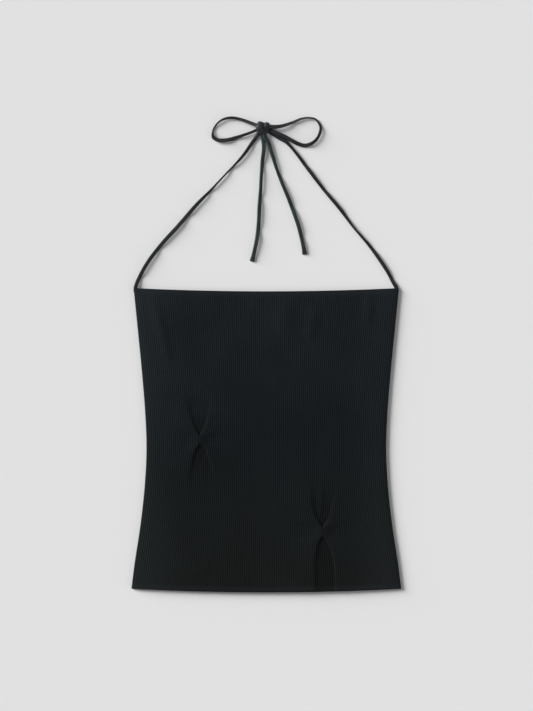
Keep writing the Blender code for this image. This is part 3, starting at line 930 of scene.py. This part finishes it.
def tube_mesh(name, rings, lengths):
    """A tube's mesh from its rings, with both ends closed and the knit's UV map."""
    count, around = rings.shape[:2]
    number = np.arange(count * around).reshape(count, around)
    faces = list(
        zip(
            number[:-1].ravel().tolist(),
            np.roll(number[:-1], -1, 1).ravel().tolist(),
            np.roll(number[1:], -1, 1).ravel().tolist(),
            number[1:].ravel().tolist(),
        )
    )
    faces += [number[0].tolist()[::-1], number[-1].tolist()]
    mesh = bpy.data.meshes.new(name)
    mesh.from_pydata(rings.reshape(-1, 3).tolist(), [], faces)
    corner = np.zeros(len(mesh.loops), int)
    mesh.loops.foreach_get("vertex_index", corner)
    girth = 2 * TIE_WIDTH / TIE_WALE
    around_place = (corner % around) / around * girth
    uv = np.stack([around_place, np.array(lengths)[corner // around] / TIE_COURSE], 1)
    mesh.uv_layers.new(name="knit").data.foreach_set("uv", uv.ravel())
    shape = bmesh.new()
    shape.from_mesh(mesh)
    bmesh.ops.recalc_face_normals(shape, faces=shape.faces)
    shape.to_mesh(mesh)
    shape.free()
    mesh.materials.append(tie_jersey)
    return shown(name, mesh)


def mark_free_end(obj, share):
    """Tells the cloth's dye where the free ends are: 1 there, 0 on the rest of the tie."""
    layer = obj.data.attributes.new("free_end", "FLOAT", "POINT")
    layer.data.foreach_set("value", share)


section_round = [*TIE_SECTION, *((-u, -v) for u, v in TIE_SECTION[1:-1])]
FLARE_LENGTH = 0.009  # the free end is a little wider, where its turned-in end is stitched
FLARE = 0.27
END_ROUND = 0.0012  # length over which a free end rounds off
END_NARROWING = 0.1  # share of the width that it loses there
DYE_FADE = 0.012  # length over which the free end's greener dye begins


def build_tie(name, places, free_length):
    """A tie's mesh and its middle line. free_length is how far the greener free end reaches."""
    middle, lean, wide, thick = tie_route(places)
    tangent = np.gradient(middle, axis=0)
    tangent /= np.linalg.norm(tangent, axis=1)[:, None]
    flat = np.cross(tangent, (0, 0, 1.0))
    flat /= np.linalg.norm(flat, axis=1)[:, None]
    up = np.cross(flat, tangent)
    c, s = np.cos(lean)[:, None], np.sin(lean)[:, None]
    lengths = run_lengths(middle)
    to_end = lengths[-1] - lengths
    flare = 1 + FLARE * smooth_step(1 - to_end / FLARE_LENGTH)
    closing = np.sqrt(np.clip(1 - (1 - np.clip(to_end / END_ROUND, 0, 1)) ** 2, 0.04, 1))
    rings = tube(
        middle,
        flat * c + up * s,
        up * c - flat * s,
        section_round,
        wide * flare * (1 - END_NARROWING * (1 - closing)),
        thick * closing,
    )
    rings[:, :, 2] = np.maximum(rings[:, :, 2], OFF_TABLE)
    tie = tube_mesh(name, rings, lengths)
    share = smooth_step((lengths - lengths[-1] + free_length) / DYE_FADE + 0.5)
    mark_free_end(tie, np.repeat(share, rings.shape[1]))
    return tie, middle


FREE_LEFT = 0.188  # from the left tie's end back to where its dye changes
FREE_RIGHT = 0.182
ties = []
for name, places, corner, free_length in (
    ("tie_left", STRAP_LEFT + LOOP_RIGHT + TURN_LEFT + TAIL_LEFT, STRAP_LEFT[1], FREE_LEFT),
    ("tie_right", STRAP_RIGHT + LOOP_LEFT + TURN_RIGHT + TAIL_RIGHT, STRAP_RIGHT[1], FREE_RIGHT),
):
    tie, middle = build_tie(name, places, free_length)
    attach(tie, "root")
    ties.append((tie, middle, corner))
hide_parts("strap_left", "bow_right", "tail_left")
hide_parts("strap_right", "bow_left", "tail_right")

# The free ends are turned in and closed by a row of stitches, and a bar of stitches at each top
# corner holds the tie between the panels.
END_ROW_SHARE = 0.42  # of the tie's width, to each side, and of its thickness, up
BAR_DOWN = 0.0040  # from the neck edge to a corner bar
BAR_ENDS = (0.0026, 0.0076)  # its ends' distances in from the side seam
rows = []
for (tie, middle, corner), side in zip(ties, (-1, 1)):
    end, before = middle[-4], middle[-5]
    way = (end - before) / np.linalg.norm(end - before)
    aside = np.cross(way, (0, 0, 1.0)) * TIE_WIDTH * END_ROW_SHARE
    lift = np.array((0, 0, TIE_THICKNESS * END_ROW_SHARE))
    rows.append(curve_through("end_row", [end - aside + lift, end + aside + lift]))
    bar_down = np.array((BAR_DOWN, BAR_DOWN))
    bar_across = side * (1 - np.array(BAR_ENDS) / SIDE_PROFILE[0][1])
    bar_x, bar_y = panel_place(bar_across, bar_down)
    level = front_outside(bar_across, bar_down, bar_x, bar_y) + RIB_HEIGHT * TURNED_RIBS
    rows.append(curve_through("corner_bar", list(zip(bar_x, bar_y, level))))
rows = [stitched(row, 0.0009, 0.0012, 0.0003, 0.0003) for row in rows]
end_stitches = [
    joined("tie_end_stitches_" + side, [row], sewing_thread) for side, row in zip("lr", rows[::2])
]
corner_bars = joined("corner_bar_stitches", rows[1::2], sewing_thread)
for piece in (*end_stitches, corner_bars):
    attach(piece, "root")

# ---------------------------------------------------------------------------------------------
# Knot. The right tie's free end runs on up over the front of the bow, turns over its top and goes
# back underneath. A smaller turn lies at its right, and the left strap swells where it goes in
# under both. The strips that cross inside fill the middle.
# ---------------------------------------------------------------------------------------------
# columns: x, y and z of a turn's middle line, and its width there
FRONT_WRAP = (
    (-0.0012, 0.4236, 0.0033, 0.0052),
    (-0.0030, 0.4268, 0.0042, 0.0054),
    (-0.0044, 0.4295, 0.0053, 0.0064),
    (-0.0060, 0.4320, 0.0064, 0.0088),
    (-0.0077, 0.4347, 0.0070, 0.0116),
    (-0.0083, 0.4378, 0.0071, 0.0130),
    (-0.0080, 0.4410, 0.0066, 0.0122),
    (-0.0076, 0.4437, 0.0050, 0.0104),
    (-0.0074, 0.4451, 0.0031, 0.0092),
    (-0.0073, 0.4444, 0.0014, 0.0084),
    (-0.0070, 0.4415, 0.0011, 0.0074),
)
SIDE_TURN = (
    (-0.0012, 0.4306, 0.0026, 0.0050),
    (-0.0003, 0.4332, 0.0044, 0.0064),
    (0.0002, 0.4364, 0.0058, 0.0078),
    (0.0006, 0.4396, 0.0060, 0.0084),
    (0.0010, 0.4424, 0.0049, 0.0082),
    (0.0012, 0.4438, 0.0033, 0.0074),
    (0.0012, 0.4431, 0.0015, 0.0066),
    (0.0010, 0.4405, 0.0012, 0.0060),
)
STRAP_SWELL = (
    (-0.0140, 0.4238, 0.0018, 0.0044),
    (-0.0123, 0.4268, 0.0026, 0.0056),
    (-0.0108, 0.4296, 0.0036, 0.0062),
    (-0.0090, 0.4326, 0.0044, 0.0060),
    (-0.0066, 0.4352, 0.0044, 0.0050),
)
# columns: route, way in which the strip's width points, in degrees, thickness, how far its edges
# bend down round the knot
TURNS = (
    (FRONT_WRAP, -12, 0.0023, 0.0018),
    (SIDE_TURN, -10, 0.0021, 0.0010),
    (STRAP_SWELL, -30, 0.0022, 0.0008),
)
TURN_RINGS = 60
KNOT_MIDDLE = (-0.0040, 0.4356)
KNOT_CORE = (0.0080, 0.0084, 0.0034)
CORE_OFF_TABLE = 0.0002
# the turns' small puckers: depth as a share of the thickness, length, shift
PUCKERS = ((0.10, 0.0011, 0), (0.06, 0.0017, 1))


def knot_turn(name, route, way, thick, bend):
    """One turn of the flat strip round the knot."""
    table = np.array(route)
    length = run_lengths(table[:, :3])
    at = np.linspace(0, length[-1], TURN_RINGS)
    x, y, z, wide = (smooth_through(np.stack([length, column], 1), at) for column in table.T)
    middle = np.stack([x, y, z], 1)
    tangent = np.gradient(middle, axis=0)
    tangent /= np.linalg.norm(tangent, axis=1)[:, None]
    along = np.tile((math.cos(math.radians(way)), math.sin(math.radians(way)), 0), (len(at), 1))
    along -= tangent * (along * tangent).sum(1)[:, None]
    along /= np.linalg.norm(along, axis=1)[:, None]
    out = np.cross(along, tangent)
    puckered = 1 + sum(depth * np.sin(at / long + shift) for depth, long, shift in PUCKERS)
    rings = tube(middle, along, out, section_round, wide, thick * puckered)
    sideways = np.array(section_round)[:, 0]
    rings -= out[:, None] * (bend * sideways**2)[None, :, None]
    rings[:, :, 2] = np.maximum(rings[:, :, 2], OFF_TABLE)
    return tube_mesh(name, rings, at)


shape = bmesh.new()
bmesh.ops.create_uvsphere(shape, u_segments=36, v_segments=20, radius=1)
core = bpy.data.meshes.new("knot_core")
shape.to_mesh(core)
shape.free()
ball = np.zeros(len(core.vertices) * 3)
core.vertices.foreach_get("co", ball)
ball = ball.reshape(-1, 3)
creased = 1 + 0.06 * np.sin(5 * ball[:, 0] + 2 * ball[:, 1]) * (1 - ball[:, 2] ** 2)
ball = ball * creased[:, None] * np.array(KNOT_CORE)
ball += (KNOT_MIDDLE[0], KNOT_MIDDLE[1], KNOT_CORE[2] + CORE_OFF_TABLE)
ball[:, 2] = np.maximum(ball[:, 2], OFF_TABLE)
core.vertices.foreach_set("co", ball.ravel())
core.uv_layers.new(name="knit")
core.materials.append(tie_jersey)
knot_parts = [shown("knot_core", core)]
for number, turn in enumerate(TURNS):
    knot_parts.append(knot_turn("knot_turn_" + str(number), *turn))
knot = joined("bow_knot", knot_parts, tie_jersey)
# The free end's greener dye reaches up the front wrap: y where it ends, and x of its left side,
# each with the width over which it fades.
DYE_TOP, DYE_TOP_FADE = 0.4365, 0.010
DYE_LEFT, DYE_LEFT_FADE = -0.0098, 0.002
place = np.zeros(len(knot.data.vertices) * 3)
knot.data.vertices.foreach_get("co", place)
place = place.reshape(-1, 3)
below_top = smooth_step((DYE_TOP - place[:, 1]) / DYE_TOP_FADE)
mark_free_end(knot, below_top * smooth_step((place[:, 0] - DYE_LEFT) / DYE_LEFT_FADE))
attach(knot, "root")
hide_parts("knot")

# ---------------------------------------------------------------------------------------------
# Table, light and camera. A plain matt pale table, a wide soft light low at the upper left, a
# pale room all round, and a camera straight above.
# ---------------------------------------------------------------------------------------------
VIEW_MIDDLE = (0.0003, 0.1185)
VIEW_LENGTH = 0.9954  # what the picture's long side takes in
CAMERA_HEIGHT = 3.0
SENSOR = 36.0
# columns: x and y that it comes from, degrees over the table, degrees wide, strength
LIGHTS = (
    ("key", -0.883, 0.469, 17.0, 30, 7.26),
    ("fill", 0.883, -0.469, 14, 27, 0.73),
)
ROOM_LIGHT = 0.210

matt_paper = bpy.data.materials.new("table, matt pale paper")
matt_paper.use_nodes = True
tree = matt_paper.node_tree
paper = tree.nodes["Principled BSDF"]
paper.inputs["Base Color"].default_value = linear("e7e7e7")
paper.inputs["Roughness"].default_value = 0.9
paper.inputs["Specular IOR Level"].default_value = 0.0

table_mesh = bpy.data.meshes.new("table")
table_mesh.from_pydata([(-9, -9, 0), (9, -9, 0), (9, 9, 0), (-9, 9, 0)], [], [(0, 1, 2, 3)])
table_mesh.materials.append(matt_paper)
table = bpy.data.objects.new("table", table_mesh)
bpy.context.scene.collection.objects.link(table)

for name, from_x, from_y, elevation, width, strength in LIGHTS:
    light = bpy.data.lights.new(name, "SUN")
    light.energy = strength
    light.angle = math.radians(width)
    lamp = bpy.data.objects.new(name, light)
    low = math.cos(math.radians(elevation))
    beam = Vector((-from_x * low, -from_y * low, -math.sin(math.radians(elevation))))
    lamp.rotation_mode = "QUATERNION"
    lamp.rotation_quaternion = beam.to_track_quat("-Z", "Y")
    bpy.context.scene.collection.objects.link(lamp)

room = bpy.data.worlds.new("room")
room.use_nodes = True
room.node_tree.nodes["Background"].inputs["Color"].default_value = (1, 1, 1, 1)
room.node_tree.nodes["Background"].inputs["Strength"].default_value = ROOM_LIGHT
bpy.context.scene.world = room
bpy.context.scene.view_settings.view_transform = "Standard"

camera = bpy.data.cameras.new("camera")
camera.sensor_width = SENSOR
camera.lens = SENSOR * CAMERA_HEIGHT / VIEW_LENGTH
camera_object = bpy.data.objects.new("camera", camera)
camera_object.location = (*VIEW_MIDDLE, CAMERA_HEIGHT)
bpy.context.scene.collection.objects.link(camera_object)
bpy.context.scene.camera = camera_object
